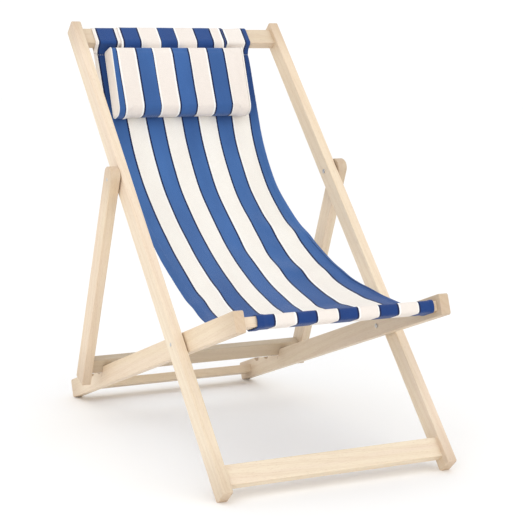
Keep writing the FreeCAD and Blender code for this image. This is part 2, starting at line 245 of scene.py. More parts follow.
def wood(name, degrees, across, seed, tone=1.0, rack=None, ends=None):
    """Pale beech with its grain along one frame's rails, or across them for a bar. tone
    darkens the whole piece as painted shade. rack is the (start, end, top) of cut notches along
    a rail, whose cut faces are darkened as painted shade. ends are where a rail starts and
    stops, and it darkens there."""
    m = Nodes(name)
    place = m.new("TexCoord")
    turn = m.new("Mapping")
    turn.inputs["Rotation"].default_value = (math.radians(-degrees), 0.0, 0.0)
    turn.inputs["Location"].default_value = (seed * 0.73, seed * 1.37, seed * 0.41)
    m.link(place, "Object", turn, "Vector")
    local = turn.outputs[0]
    stretch = (0.05, 1.0, 1.0) if across else (1.0, 0.05, 1.0)
    long = m.vec("MULTIPLY", local, stretch)
    broad = m.noise(long, 9.0, 2.0)
    wander = m.noise(long, 26.0, 3.0, 0.55, 0.6)
    rings = m.new("TexWave", wave_type="BANDS", bands_direction="DIAGONAL")
    rings.inputs["Scale"].default_value = 34.0
    rings.inputs["Distortion"].default_value = 5.5
    rings.inputs["Detail"].default_value = 2.0
    rings.inputs["Detail Scale"].default_value = 0.9
    m.tree.links.new(long, rings.inputs["Vector"])
    fibre = m.noise(long, 620.0, 3.0, 0.6)
    fleck_stretch = (70.0, 900.0, 900.0) if across else (900.0, 70.0, 900.0)
    fleck_at = m.vec("MULTIPLY", local, fleck_stretch)
    fleck = m.new("TexVoronoi", feature="F1")
    fleck.inputs["Scale"].default_value = 1.0
    m.tree.links.new(fleck_at, fleck.inputs["Vector"])
    flecks = m.ramp(fleck.outputs["Distance"], [(0.0, 1.0), (0.16, 1.0), (0.24, 0.0)])
    base = m.mix(m.ramp(broad, [(0.3, 0.0), (0.7, 1.0)]), WOOD_PALE, WOOD_MID)
    base = m.mix(m.math("MULTIPLY", m.ramp(wander, [(0.42, 0.0), (0.72, 1.0)]), ROSE_SHARE),
                 base, WOOD_ROSE)
    ring_share = m.ramp(rings.outputs[0], [(0.0, 0.0), (0.62, 0.08), (0.9, 1.0), (1.0, 0.3)])
    base = m.mix(m.math("MULTIPLY", ring_share, RING_SHARE), base, WOOD_DARK)
    fibre_share = m.ramp(fibre, [(0.38, 0.0), (0.7, 1.0)])
    base = m.mix(m.math("MULTIPLY", fibre_share, FIBRE_SHARE), base, WOOD_DARK)
    base = m.mix(m.math("MULTIPLY", flecks, FLECK_SHARE), base, WOOD_FLECK)
    # painted shade in the rack's notches and along their steep wall, where shadow falls
    if rack:
        notch_shade = notch_shade_share(m, place, degrees, rack)
        base = m.mix(m.math("MULTIPLY", notch_shade, NOTCH_SHADE_SHARE), base, WOOD_NOTCH_SHADE)
    axis = wood_axis(degrees, across)
    facing = along_axis(m, place.outputs["Normal"], axis)
    cut_end = m.ramp(m.math("ABSOLUTE", facing), [(0.62, 0.0), (0.95, 1.0)])
    base = m.mix(cut_end, base, m.mix(1.0, base, END_GRAIN, "MULTIPLY"))
    if ends:
        at = along_axis(m, place.outputs["Object"], axis)
        inside = m.math("MINIMUM", m.math("SUBTRACT", at, ends[0]),
                        m.math("SUBTRACT", ends[1], at))
        handled = m.ramp(m.math("DIVIDE", inside, HANDLED_SPAN), [(0.0, 0.62), (1.0, 0.0)])
        handled = m.math("MULTIPLY", handled, m.math("SUBTRACT", 1.0, cut_end))
        base = m.mix(handled, base, m.mix(1.0, base, HANDLED, "MULTIPLY"))
    # painted shade: tone darkens the whole piece
    if tone < 1.0:
        base = m.mix(1.0, base, (tone, tone * 0.985, tone * 0.965, 1.0), "MULTIPLY")
    height = m.math("ADD", m.math("MULTIPLY", fibre, 0.7),
                    m.math("MULTIPLY", rings.outputs[0], 0.3))
    rough = m.math("ADD", 0.44, m.math("MULTIPLY", fibre, 0.18))
    m.bsdf.inputs["Coat Weight"].default_value = 0.12
    m.bsdf.inputs["Coat Roughness"].default_value = 0.35
    return m.finish(base, rough, m.bump(height, 0.00025, 0.55))


def metal(name, colour, rough):
    m = Nodes(name)
    place = m.new("TexCoord")
    fine = m.noise(place.outputs["Object"], 900.0, 3.0)
    dull = m.noise(place.outputs["Object"], 160.0, 2.0)
    c = m.mix(m.ramp(dull, [(0.35, 0.0), (0.7, 1.0)]), colour,
              tuple(v * 0.72 for v in colour[:3]) + (1.0,))
    m.bsdf.inputs["Metallic"].default_value = 1.0
    r = m.math("ADD", rough, m.math("MULTIPLY", dull, 0.18))
    return m.finish(c, r, m.bump(fine, 0.00006, 0.5))


def nylon(name):
    m = Nodes(name)
    place = m.new("TexCoord")
    grain = m.noise(place.outputs["Object"], 1400.0, 2.0)
    tone = m.noise(place.outputs["Object"], 120.0, 2.0)
    c = m.mix(m.ramp(tone, [(0.3, 0.0), (0.7, 1.0)]), srgb(226, 220, 206), srgb(210, 202, 186))
    return m.finish(c, 0.55, m.bump(grain, 0.00008, 0.5))


CANVAS_BLUE = srgb(70, 115, 179)
CANVAS_BLUE_DEEP = srgb(27, 66, 132)
CANVAS_NAVY = srgb(20, 34, 78)
CANVAS_WHITE = srgb(255, 255, 253)
CANVAS_PALE = srgb(254, 251, 244)
CANVAS_CREAM = srgb(247, 238, 230)
CANVAS_CREAM_LOW = srgb(241, 231, 222)
STRIPE_SPAN = 0.5            # metres of cloth that one run of the stripe ramp covers
ALONG_SPAN = 1.4             # and that one run of the ramps along it covers, which hold ageing, fading and painted light
YARN_PITCH = 0.0011          # one repeat of the weave across the cloth
NAVY_SHARE = 0.22            # how far the unevenly dyed blue goes towards navy
THREAD_EDGE = 0.0031         # the darker threads at each edge of a blue stripe
THREAD_WHITE = 0.0032        # and the bleached threads just outside it


def canvas(name, stripes, source, soil=0.5, age_and_light=((0.0, 1.0),), fade_and_light=((0.0, 0.5),)):
    """Woven striped canvas. source gives (across, along, other) in metres; stripes are the blue
    runs of the across coordinate; the fifth and sixth arguments are how creamy the pale cloth
    and how pale the blue are along it, with painted light and shade where they vary along it."""
    m = Nodes(name)
    cloth = source(m)
    across, along, other = m.split(cloth)[0:3]
    weave_warp = m.noise(m.vec("MULTIPLY", cloth, (1500.0, 70.0, 70.0)), 1.0, 2.0)
    weave_weft = m.noise(m.vec("MULTIPLY", cloth, (70.0, 1500.0, 1500.0)), 1.0, 2.0)
    uneven = m.noise(cloth, 420.0, 1.0)
    shifted = m.math("ADD", across, m.math("MULTIPLY", m.math("SUBTRACT", uneven, 0.5), 0.0006))
    level = m.math("DIVIDE", shifted, STRIPE_SPAN)
    bands = [(0.0, 0.0)]
    edges = [(0.0, 0.0)]
    bleached = [(0.0, 0.0)]
    for a, b in stripes:
        bands += [(a / STRIPE_SPAN, 1.0), (b / STRIPE_SPAN, 0.0)]
        for e0, e1 in ((a, a + THREAD_EDGE), (b - THREAD_EDGE, b)):
            edges += [(e0 / STRIPE_SPAN, 1.0), (e1 / STRIPE_SPAN, 0.0)]
        bleached += [((a - THREAD_WHITE) / STRIPE_SPAN, 1.0),
                     ((b + THREAD_WHITE) / STRIPE_SPAN, 0.0)]
    is_blue = m.ramp(level, bands, "CONSTANT")
    is_edge = m.ramp(level, edges, "CONSTANT")
    is_bleached = m.ramp(level, bleached, "CONSTANT")
    worn = m.noise(m.vec("MULTIPLY", cloth, (1.0, 0.35, 1.0)), 11.0, 4.0, 0.6)
    tone = m.ramp(worn, [(0.34, 0.0), (0.68, 1.0)])
    # painted light and shade along with the fading: where this ramp varies, the blue is paler where the
    # cloth hangs lit and deeper where it is shaded
    bright = m.ramp(m.math("DIVIDE", along, ALONG_SPAN),
                    [(at / ALONG_SPAN, share) for at, share in fade_and_light])
    blue = m.mix(bright, CANVAS_BLUE_DEEP, CANVAS_BLUE)
    blue = m.mix(m.math("MULTIPLY", tone, NAVY_SHARE), blue, CANVAS_NAVY)
    # painted light along with the ageing: where this ramp varies, the pale cloth is whiter where it hangs
    # lit
    old = m.ramp(m.math("DIVIDE", along, ALONG_SPAN),
                 [(at / ALONG_SPAN, share) for at, share in age_and_light])
    cream = m.mix(old, CANVAS_PALE, CANVAS_CREAM)
    cream = m.mix(m.math("MULTIPLY", tone, soil), cream, CANVAS_CREAM_LOW)
    blue = m.mix(is_edge, blue, CANVAS_NAVY)
    cream = m.mix(is_bleached, cream, CANVAS_WHITE)
    colour = m.mix(is_blue, cream, blue)
    pitch = 2 * math.pi / YARN_PITCH
    warp = m.math("SINE", m.math("MULTIPLY", across, pitch))
    weft = m.math("SINE", m.math("MULTIPLY", m.math("ADD", along, other), pitch * 0.8))
    plain = m.math("MULTIPLY", warp, weft)
    yarns = m.math("ADD", m.math("MULTIPLY", plain, 0.5),
                   m.math("ADD", m.math("MULTIPLY", weave_warp, 0.7),
                          m.math("MULTIPLY", weave_weft, 0.7)))
    shade = m.ramp(m.math("MULTIPLY", yarns, 0.6), [(0.12, 0.86), (0.62, 1.0)])
    colour = m.mix(1.0, colour, shade, "MULTIPLY")
    m.bsdf.inputs["Sheen Weight"].default_value = 0.18
    m.bsdf.inputs["Sheen Roughness"].default_value = 0.5
    m.bsdf.inputs["Specular IOR Level"].default_value = 0.22
    return m.finish(colour, 0.86, m.bump(yarns, 0.00035, 0.6))


def by_attribute(m):
    node = m.new("Attribute", attribute_type="GEOMETRY", attribute_name="cloth")
    return node.outputs["Vector"]


# ---- camera, light, floor -----------------------------------------------------------
def add_object(name, data):
    obj = bpy.data.objects.new(name, data)
    bpy.context.scene.collection.objects.link(obj)
    return obj


CAMERA_AT = (-1.43837, -2.97706, 0.91496)
CAMERA_TURN = (-26.49, -9.06, 0.58)    # yaw, pitch and roll, degrees
LENS, SENSOR = 104.14, 36.0            # millimetres
SKY, AIM = 1.04, (0.0, 0.0, 0.45)      # how bright the surroundings are, where lamps point
FLOOR_HALF = 14.0


def camera():
    yaw, pitch, roll = (math.radians(v) for v in CAMERA_TURN)
    ahead = Vector((-math.sin(yaw) * math.cos(pitch), math.cos(yaw) * math.cos(pitch),
                    math.sin(pitch)))
    right = Vector((math.cos(yaw), math.sin(yaw), 0.0))
    up = right.cross(ahead)
    right, up = (math.cos(roll) * right + math.sin(roll) * up,
                 math.cos(roll) * up - math.sin(roll) * right)
    data = bpy.data.cameras.new("camera")
    data.sensor_width = SENSOR
    data.lens = LENS
    data.clip_end = 60.0
    cam = add_object("camera", data)
    rows = [(right[i], up[i], -ahead[i], CAMERA_AT[i]) for i in range(3)]
    cam.matrix_world = Matrix(rows + [(0.0, 0.0, 0.0, 1.0)])
    bpy.context.scene.camera = cam


def area_light(name, at, target, size, power, colour):
    data = bpy.data.lights.new(name, "AREA")
    data.shape = "SQUARE"
    data.size = size
    data.energy = power
    data.color = colour
    lamp = add_object(name, data)
    lamp.location = at
    lamp.rotation_mode = "QUATERNION"
    lamp.rotation_quaternion = (Vector(target) - Vector(at)).to_track_quat("-Z", "Y")


def studio():
    scene = bpy.context.scene
    scene.view_settings.view_transform = "Standard"
    world = bpy.data.worlds.new("studio")
    world.use_nodes = True
    back = world.node_tree.nodes["Background"]
    back.inputs["Color"].default_value = (1.0, 1.0, 1.0, 1.0)
    back.inputs["Strength"].default_value = SKY
    scene.world = world
    area_light("key", (-2.6, -2.2, 3.0), AIM, 2.4, 22.0, (1.0, 0.985, 0.965))
    area_light("front", (1.8, -3.4, 1.5), AIM, 2.6, 12.0, (1.0, 0.95, 0.89))
    m = Nodes("floor_pale")
    place = m.new("TexCoord")
    cloud = m.noise(place.outputs["Object"], 1.3, 3.0)
    tint = m.mix(m.ramp(cloud, [(0.3, 0.0), (0.7, 1.0)]), (0.98, 0.98, 0.978, 1.0),
                 (0.97, 0.97, 0.97, 1.0))
    mat = m.finish(tint, 0.9)
    mesh = bpy.data.meshes.new("floor")
    r = FLOOR_HALF
    mesh.from_pydata([(-r, -r, 0), (r, -r, 0), (r, r, 0), (-r, r, 0)], [], [(0, 1, 2, 3)])
    mesh.materials.append(mat)
    floor = add_object("floor", mesh)


# ---- mesh helpers -------------------------------------------------------------------
def unit_tangents(line):
    tangent = np.gradient(line, axis=0)
    return tangent / np.linalg.norm(tangent, axis=1)[:, None]


def path_through(points, step):
    """A smooth line through (y, z) points, resampled at about even steps."""
    pts = np.array(points, float)
    d = np.concatenate([[0], np.cumsum(np.linalg.norm(np.diff(pts, axis=0), axis=1) ** 0.5)])
    dense = []
    for i in range(len(pts) - 1):
        p1, p2 = pts[i], pts[i + 1]
        t1, t2 = d[i], d[i + 1]
        p0, t0 = (pts[i - 1], d[i - 1]) if i else (2 * p1 - p2, t1 - (t2 - t1))
        last = i + 2 >= len(pts)
        p3, t3 = (2 * p2 - p1, t2 + (t2 - t1)) if last else (pts[i + 2], d[i + 2])
        for t in np.linspace(t1, t2, 24, endpoint=False):
            a1 = (t1 - t) / (t1 - t0) * p0 + (t - t0) / (t1 - t0) * p1
            a2 = (t2 - t) / (t2 - t1) * p1 + (t - t1) / (t2 - t1) * p2
            a3 = (t3 - t) / (t3 - t2) * p2 + (t - t2) / (t3 - t2) * p3
            b1 = (t2 - t) / (t2 - t0) * a1 + (t - t0) / (t2 - t0) * a2
            b2 = (t3 - t) / (t3 - t1) * a2 + (t - t1) / (t3 - t1) * a3
            dense.append((t2 - t) / (t2 - t1) * b1 + (t - t1) / (t2 - t1) * b2)
    dense.append(pts[-1])
    dense = np.array(dense)
    along = np.concatenate([[0], np.cumsum(np.linalg.norm(np.diff(dense, axis=0), axis=1))])
    n = max(2, int(round(along[-1] / step)) + 1)
    at = np.linspace(0, along[-1], n)
    line = np.stack([np.interp(at, along, dense[:, k]) for k in range(2)], axis=1)
    return line, at


STITCH_STEP, STITCH_LENGTH = 0.0052, 0.0041


def grid_mesh(name, rows, cloth, material):
    """A sheet from rows of points; cloth holds each point's (across, along) in metres."""
    rows = np.array(rows)
    n, m = rows.shape[:2]
    verts = rows.reshape(-1, 3)
    faces = [(i * m + j, i * m + j + 1, (i + 1) * m + j + 1, (i + 1) * m + j)
             for i in range(n - 1) for j in range(m - 1)]
    mesh = bpy.data.meshes.new(name)
    mesh.from_pydata([tuple(v) for v in verts], [], faces)
    attribute = mesh.attributes.new("cloth", "FLOAT_VECTOR", "POINT")
    attribute.data.foreach_set("vector", np.array(cloth, np.float32).reshape(-1))
    mesh.materials.append(material)
    mesh.shade_smooth()
    return add_object(name, mesh)


def thicken(obj, thickness):
    mod = obj.modifiers.new("cloth_thickness", "SOLIDIFY")
    mod.thickness = thickness
    mod.offset = 0.0
    mod.use_even_offset = False
    mod.use_rim = True


def sewn_row(name, path, radius, material):
    """A row of short raised threads along a path of points."""
    path = np.array(path)
    run = np.concatenate([[0.0], np.cumsum(np.linalg.norm(np.diff(path, axis=0), axis=1))])
    verts, faces = [], []
    for k in range(int(run[-1] / STITCH_STEP)):
        a, b = (Vector([np.interp(t, run, path[:, c]) for c in range(3)])
                for t in (k * STITCH_STEP, k * STITCH_STEP + STITCH_LENGTH))
        d = (b - a).normalized()
        side = d.orthogonal().normalized()
        other = d.cross(side)
        base = len(verts)
        rings = ((0.0, 0.25), (0.18, 0.9), (0.5, 1.0), (0.82, 0.9), (1.0, 0.25))
        for t, k in rings:
            c = a.lerp(b, t)
            for q in range(6):
                w = q * math.pi / 3
                verts.append(tuple(c + (side * math.cos(w) + other * math.sin(w)) * radius * k))
        for i in range(len(rings) - 1):
            for q in range(6):
                r = (q + 1) % 6
                faces.append((base + i * 6 + q, base + i * 6 + r,
                              base + (i + 1) * 6 + r, base + (i + 1) * 6 + q))
        faces.append(tuple(base + q for q in reversed(range(6))))
        faces.append(tuple(base + (len(rings) - 1) * 6 + q for q in range(6)))
    mesh = bpy.data.meshes.new(name)
    mesh.from_pydata(verts, [], faces)
    mesh.materials.append(material)
    mesh.shade_smooth()
    return add_object(name, mesh)


def thread_material(name, colour):
    m = Nodes(name)
    place = m.new("TexCoord")
    ply = m.noise(place.outputs["Object"], 2600.0, 2.0)
    c = m.mix(m.ramp(ply, [(0.3, 0.0), (0.7, 1.0)]), colour,
              tuple(v * 0.82 for v in colour[:3]) + (1.0,))
    return m.finish(c, 0.75, m.bump(ply, 0.0001, 0.6))


# ---- the sling ----------------------------------------------------------------------
SLING_W = 0.4066             # cut width of the cloth
SLING_FIT = 0.396            # the width that the hanging shape is described over
SLING_BLUE = [(0.0072, 0.0512), (0.0968, 0.1412), (0.1868, 0.2312), (0.2768, 0.3212),
              (0.3668, 0.4100)]
# How the cloth lies, by the share of the way down: its left edge, its spread across, and
# how much is turned under on the left and on the right
LIE = [
    (0.00, -0.2180, 1.035, 0.0000, 0.0250), (0.03, -0.2180, 1.035, 0.0000, 0.0250),
    (0.10, -0.2135, 1.008, 0.0000, 0.0160),
    (0.20, -0.2090, 0.985, 0.0040, 0.0106), (0.35, -0.2010, 0.974, 0.0080, 0.0100),
    (0.50, -0.1935, 0.970, 0.0110, 0.0090), (0.65, -0.1950, 0.984, 0.0160, 0.0070),
    (0.80, -0.1968, 1.002, 0.0170, 0.0060), (0.90, -0.2000, 1.015, 0.0160, 0.0045),
    (1.00, -0.2022, 1.024, 0.0140, 0.0040),
]
# How strongly the right side is held up, by the share of the way down
HELD_UP = [(0.33, 0.0), (0.38, 0.12), (0.45, 0.26), (0.50, 0.52), (0.56, 0.88), (0.61, 1.06),
           (0.70, 1.0), (0.83, 0.78), (0.92, 0.25), (0.97, 0.0)]
HELD_FROM, HELD_BY = 0.23, 0.90    # from this far across, metres per square metre
TWIST_FROM, TWIST_SPAN = 0.06, 0.42       # starts this far behind the feet, and lasts
TWIST_LEFT, TWIST_RIGHT = 0.009, 0.021    # how far the edges drop and rise there
HEM_ROLL = 0.0008            # radius of a turned-under edge
HEM_RISE = 0.0014            # how far the upper layer clears it
CLOTH_T, STRAP_T = 0.0012, 0.0011         # thickness of the sling and of the strap
EDGE_STRIP, EDGE_COLS, MID_COLS = 0.03, 25, 64    # closer columns near both edges
CURL_WIDTH, CURL_BACK, CURL_VARIES = 0.036, 0.0045, 0.005    # edges curl away from the sitter
WAVE, RIPPLE, SWAY = 0.0040, 0.0013, 0.0016    # heights of the unevenness, and sideways
# How pale the blue is along it, partly sun fading and partly painted light and shade: paler where it hangs
# lit, deepest round the bars and behind the pad
SLING_FADE_AND_LIGHT = ((0.0, 0.14), (0.26, 0.14), (0.33, 0.75), (0.42, 1.0), (0.75, 0.9), (1.0, 0.4),
               (1.17, 0.1), (1.21, 0.0))
# How creamy the pale cloth is, by metres along it, partly ageing and partly painted light: whitest where it
# hangs in the light
SLING_AGE_AND_LIGHT = ((0.0, 0.9), (0.16, 0.7), (0.30, 0.0), (0.75, 0.0), (1.05, 0.45), (1.20, 1.0))
# Cloth line round the top rail, (along, out) from the rail's middle, from the sewn-in end
TOP_POCKET = [
    (-33.0, -16.6), (-31.0, -15.4), (-29.2, -13.4), (-27.3, -10.2), (-25.3, -5.0),
    (-24.2, 2.0), (-23.6, 7.2), (-22.3, 10.3), (-19.0, 11.4), (-8.0, 11.5), (8.0, 11.5),
    (19.0, 11.4), (22.3, 10.4), (23.4, 7.4), (23.4, 0.0), (23.4, -7.4), (22.4, -10.4),
    (19.2, -11.5), (8.0, -12.0), (-6.0, -13.2), (-18.0, -14.6), (-30.0, -17.0),
]
# Side view of the hanging cloth: behind the feet line, above the floor
HANG = [
    (0.790, 0.808), (0.774, 0.764), (0.757, 0.718), (0.737, 0.670), (0.711, 0.614),
    (0.680, 0.566), (0.645, 0.521), (0.603, 0.480), (0.552, 0.440), (0.495, 0.402),
    (0.430, 0.367), (0.365, 0.338), (0.300, 0.318), (0.240, 0.308), (0.185, 0.306),
    (0.130, 0.313), (0.088, 0.327),
]
# Round the front bar, (along, out) from the bar's middle, to the sewn-in end
LOW_POCKET = [
    (46.0, 9.2), (32.0, 10.9), (23.0, 11.7), (16.0, 11.7), (0.0, 11.5), (-18.6, 11.5),
    (-23.0, 9.9), (-25.0, 5.6), (-25.6, 0.0), (-25.0, -5.6), (-23.0, -9.9),
    (-19.2, -11.7), (-8.0, -11.9), (8.0, -11.8), (17.5, -11.7), (21.4, -10.4),
    (24.0, -6.5), (26.4, 0.0), (28.8, 5.4), (33.5, 8.4), (47.0, 7.2),
]


def sling_line():
    top = [spot("back", TOP_BAR_AT + a / 1000, o / 1000) for a, o in TOP_POCKET]
    mid = [(y + FEET_Y, z) for y, z in HANG]
    low = [spot("seat", FRONT_BAR_AT + a / 1000, o / 1000) for a, o in LOW_POCKET]
    return top, mid, low


def ease(t):
    t = min(max(t, 0.0), 1.0)
    return t * t * (3 - 2 * t)


def twist(y, side):
    """How far the cloth's edge is lifted on one side: it hangs askew near the seat."""
    t = (y - FEET_Y - TWIST_FROM) / TWIST_SPAN
    if not 0 < t < 1:
        return 0.0
    if side < 0:
        return TWIST_LEFT * side * math.sin(math.pi * t) ** 2
    return TWIST_RIGHT * side * math.sin(math.pi * t ** 0.6) ** 2


def soften(values, reach=12):
    """Rounds off the corners of a curve that was drawn through a few points."""
    kernel = np.hanning(2 * reach + 1)
    kernel /= kernel.sum()
    return np.convolve(np.pad(values, reach, mode="edge"), kernel, mode="valid")


def lie_columns():
    table = np.array(LIE)
    return [(table[:, 0], table[:, k]) for k in range(1, 5)]


def turned_under(a, width):
    """Where a point lands when the cloth is folded under at width from its edge, and how
    far the upper layer is raised over the lower one."""
    if width < 1e-5:
        return a, 0.0
    roll = HEM_ROLL * min(1.0, width / 0.004)
    at = width + math.hypot(a - width, roll) if a < width + 0.02 else a
    upper = ease((a - width) / 0.0025 + 0.5) * (1 - ease((a - 2 * width) / 0.006))
    return at, HEM_RISE * upper * min(1.0, width / 0.004)


def build_sling(material):
    """The sling, its length, its rows of points, how far along it each row is, and how far
    along it the top pocket ends and the low one starts."""
    top, mid, low = sling_line()
    line, along = path_through(top + mid + low, 0.0036)
    s0, s1 = (along[int(np.linalg.norm(line - np.array(p), axis=1).argmin())]
              for p in (top[-1], low[0]))
    tangent = unit_tangents(line)
    # the sitter's side of the cloth: to the left of the downward direction
    normal = np.stack([tangent[:, 1], -tangent[:, 0]], axis=1)
    edge = np.linspace(0.0, EDGE_STRIP, EDGE_COLS)
    middle = np.linspace(EDGE_STRIP, SLING_W - EDGE_STRIP, MID_COLS)[1:-1]
    cols = np.concatenate([edge, middle, SLING_W - edge[::-1]])
    share = np.clip((along - s0) / (s1 - s0), 0.0, 1.0)
    left, spread, tuck_l, tuck_r = (soften(np.interp(share, *column))
                                    for column in lie_columns())
    held = soften(np.interp(share, *zip(*HELD_UP)))
    rows, cloth = [], []
    for i, (y, z) in enumerate(line):
        s, f = along[i], share[i]
        free = ease(f / 0.10) * ease((1 - f) / 0.10)
        hem_side = 2 * ease((s - s0 + 0.012) / 0.032) - 1    # hidden inside the top pocket
        row = []
        ny, nz = normal[i]
        for a in cols:
            u = a / SLING_FIT
            lift = twist(y, 2 * u - 1) + HELD_BY * held[i] * max(0.0, a - HELD_FROM) ** 2
            from_edge = min(a, SLING_W - a)
            curl = max(0.0, 1 - from_edge / CURL_WIDTH) ** 2 * free
            if u > 0.5:
                curl *= 1 - ease((f - 0.33) / 0.12)
            wave = noise.noise(Vector((a * 7.0 + 3.1, s * 5.5, 0.3)))
            fine = noise.noise(Vector((a * 21.0, s * 11.0 + 4.0, 1.7)))
            rim = noise.noise(Vector((9.0 if u < 0.5 else 2.0, s * 9.0, 5.5)))
            d = free * (WAVE * wave + RIPPLE * fine + fold_ridge(a, f)) \
                - curl * (CURL_BACK + CURL_VARIES * rim)
            at, up_l = turned_under(a, tuck_l[i])
            back, up_r = turned_under(SLING_W - at, tuck_r[i])
            x = left[i] + spread[i] * (SLING_W - back)
            side = 1.0 if u > 0.5 else -1.0
            x -= side * curl * (0.0010 - 0.002 * rim)
            x += free * SWAY * noise.noise(Vector((a * 3.0, s * 8.0, 8.8)))
            d += (up_l + up_r) * hem_side
            row.append((x, y + ny * d, z + nz * d + lift))
            cloth.append((a, s, 0.0))
        rows.append(row)
    obj = grid_mesh("sling_cloth", rows, cloth, material)
    thicken(obj, CLOTH_T)
    return obj, along[-1], np.array(rows), along, (s0, s1)


# Slanting creases: place across, share of the way down, slope, width, height, reach
CREASES = [
    (0.35, 0.50, 0.9, 0.026, 0.0055, 0.09), (0.27, 0.56, 0.7, 0.030, -0.0036, 0.10),
    (0.05, 0.72, -0.8, 0.026, 0.0050, 0.09), (0.33, 0.66, 0.8, 0.024, 0.0048, 0.08),
    (0.30, 0.82, 0.6, 0.024, -0.0034, 0.08), (0.14, 0.84, -0.5, 0.026, 0.0034, 0.08),
    (0.03, 0.86, -0.4, 0.020, -0.0030, 0.06),
]


def fold_ridge(a, f):
    """Slight slanting creases where the empty cloth is pulled askew."""
    total = 0.0
    for a0, f0, slope, width, height, reach in CREASES:
        da, df = a - a0, (f - f0) * 1.12
        across = (df - slope * da) / math.hypot(1.0, slope)
        length = (da + slope * df) / math.hypot(1.0, slope)
        total += height * math.exp(-(across / width) ** 2 - (length / reach) ** 2)
    return total


# Folded, the cloth lies in the gap between the two frames: (distance from the seat pivot,
# height over the back frame's middle). It clears the seat's rear bar and the headrest.
FOLD_UPPER = [(0.64, 0.0200), (0.704, 0.0190), (0.780, -0.0246), (0.805, -0.030)]
FOLD_LOWER = [(0.166, 0.0096), (0.226, 0.0116)]


def sling_weight(y, z, nearest):
    """How far a point of the cloth has turned with the seat frame, 0 to 1."""
    dy, dz = y - SEAT_PIVOT[0], z - SEAT_PIVOT[1]
    r = math.hypot(dy, dz)
    phi = math.degrees(math.atan2(dz, dy)) % 360.0
    upper = y > nearest[1] and phi < 200.0
    h = np.interp(r, *zip((nearest[0], nearest[0]), *(FOLD_UPPER if upper else FOLD_LOWER)))
    rise = math.degrees(math.asin(min(1.0, h / r)))
    target = BACK_LEAN + (rise if upper else 180.0 - rise)
    return min(max((target - phi) / FOLD_ANGLE, 0.0), 1.0)


def set_sling_blend(obj, line_rows, along, span):
    """Weights that run from the top rail to the front bar without a step."""
    s0, s1 = span
    mid = line_rows[:, line_rows.shape[1] // 2, :]
    hang = (along > s0) & (along < s1)
    reach = np.hypot(mid[:, 1] - SEAT_PIVOT[0], mid[:, 2] - SEAT_PIVOT[1])
    reach[~hang] = 9.0
    k = int(reach.argmin())
    raw = np.array([sling_weight(p[1], p[2], (reach[k], mid[k, 1])) for p in mid])
    raw[along <= s0] = 0.0
    raw[along >= s1] = 1.0
    smooth = soften(raw, 6)
    smooth[along <= s0 + 0.004] = 0.0
    smooth[along >= s1 - 0.004] = 1.0
    smooth = np.clip(smooth, 0.0, 1.0)
    per_point = np.repeat(smooth, line_rows.shape[1])
    attribute = obj.data.attributes["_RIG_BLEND"]
    attribute.data.foreach_set("value", per_point.astype(np.float32))


# ---- the headrest -------------------------------------------------------------------
PAD_X = (-0.194, 0.141)
PAD_H, PAD_T = 0.160, 0.043
PAD_TILT = 20.5
PIPING_R = 0.0014
PANEL = 0.0018               # the plain end panels reach this far round the corner
PAD_TOP = (0.798 + FEET_Y, 0.8365)
PAD_BLUE = [(-0.200, -0.1720), (-0.128, -0.084), (-0.038, 0.006), (0.052, 0.096)]
PAD_SHIFT, PAD_SLANT = 0.008, 0.025    # the pad's stripes don't quite line up with it
PAD_MIDDLE = 0.25            # added across the pad, so its stripes stay above zero
STRAP_X = (-0.156, 0.112)
STRAP_LOW_Z = 0.8445         # where it meets the pad
STRAP_BLUE = [(-0.151, -0.107), (-0.058, -0.014), (0.035, 0.079), (0.105, 0.113)]


def pad_point(x, y, z):
    """From the pad's own axes (top edge at z = 0, back face at y = 0) to the row frame."""
    a = math.radians(-PAD_TILT)
    return Vector((x, PAD_TOP[0] + y * math.cos(a) - z * math.sin(a),
                   PAD_TOP[1] + y * math.sin(a) + z * math.cos(a)))


# Side profile of the pad: at the front or not, at the bottom or not, corner radius
PAD_CORNERS = [(True, False, 0.0075), (True, True, 0.021), (False, True, 0.009),
               (False, False, 0.005)]
PAD_EASE = 0.003             # how much slimmer the pad starts before it is stuffed
BACK_GAP = 0.0006            # between the pad's back and its mounting face
PAD_VOXEL = 0.004            # mesh size of the pad
STUFF_FRAMES, STUFF_PRESSURE, STUFF_CAP = 20, 4.0, 0.0055    # how it is stuffed


def pad_outline(inset):
    """The pad's side profile drawn in by inset, front top corner first."""
    ring = []
    for k, (front, low, radius) in enumerate(PAD_CORNERS):
        r = radius - inset
        cy = -PAD_T + inset + r if front else -BACK_GAP - inset - r
        cz = -PAD_H + inset + r if low else -inset - r
        for q in range(9):
            w = math.pi / 2 * (k + 1 + q / 8)
            ring.append((cy + r * math.cos(w), cz + r * math.sin(w)))
    return ring


def pad_block(slim):
    """The sewn cover before stuffing: the profile drawn out between two flat end panels."""
    inset = [(0.0, 0.0016), (0.0005, 0.0006), (0.0016, 0.0), (0.014, 0.0), (0.034, slim)]
    rings = [(PAD_X[0] + dx, cut) for dx, cut in inset] \
        + [(PAD_X[1] - dx, cut) for dx, cut in inset[::-1]]
    verts = [(x, y, z) for x, cut in rings for y, z in pad_outline(cut)]
    n = len(pad_outline(0.0))
    faces = [(i * n + j, i * n + (j + 1) % n, (i + 1) * n + (j + 1) % n, (i + 1) * n + j)
             for i in range(len(rings) - 1) for j in range(n)]
    faces.append(tuple(reversed(range(n))))
    faces.append(tuple(range((len(rings) - 1) * n, len(rings) * n)))
    mesh = bpy.data.meshes.new("block")
    mesh.from_pydata(verts, [], faces)
    return add_object("block", mesh)


def apply_modifiers(obj):
    deps = bpy.context.evaluated_depsgraph_get()
    made = bpy.data.meshes.new_from_object(obj.evaluated_get(deps))
    old = obj.data
    obj.modifiers.clear()
    obj.data = made
    bpy.data.meshes.remove(old)


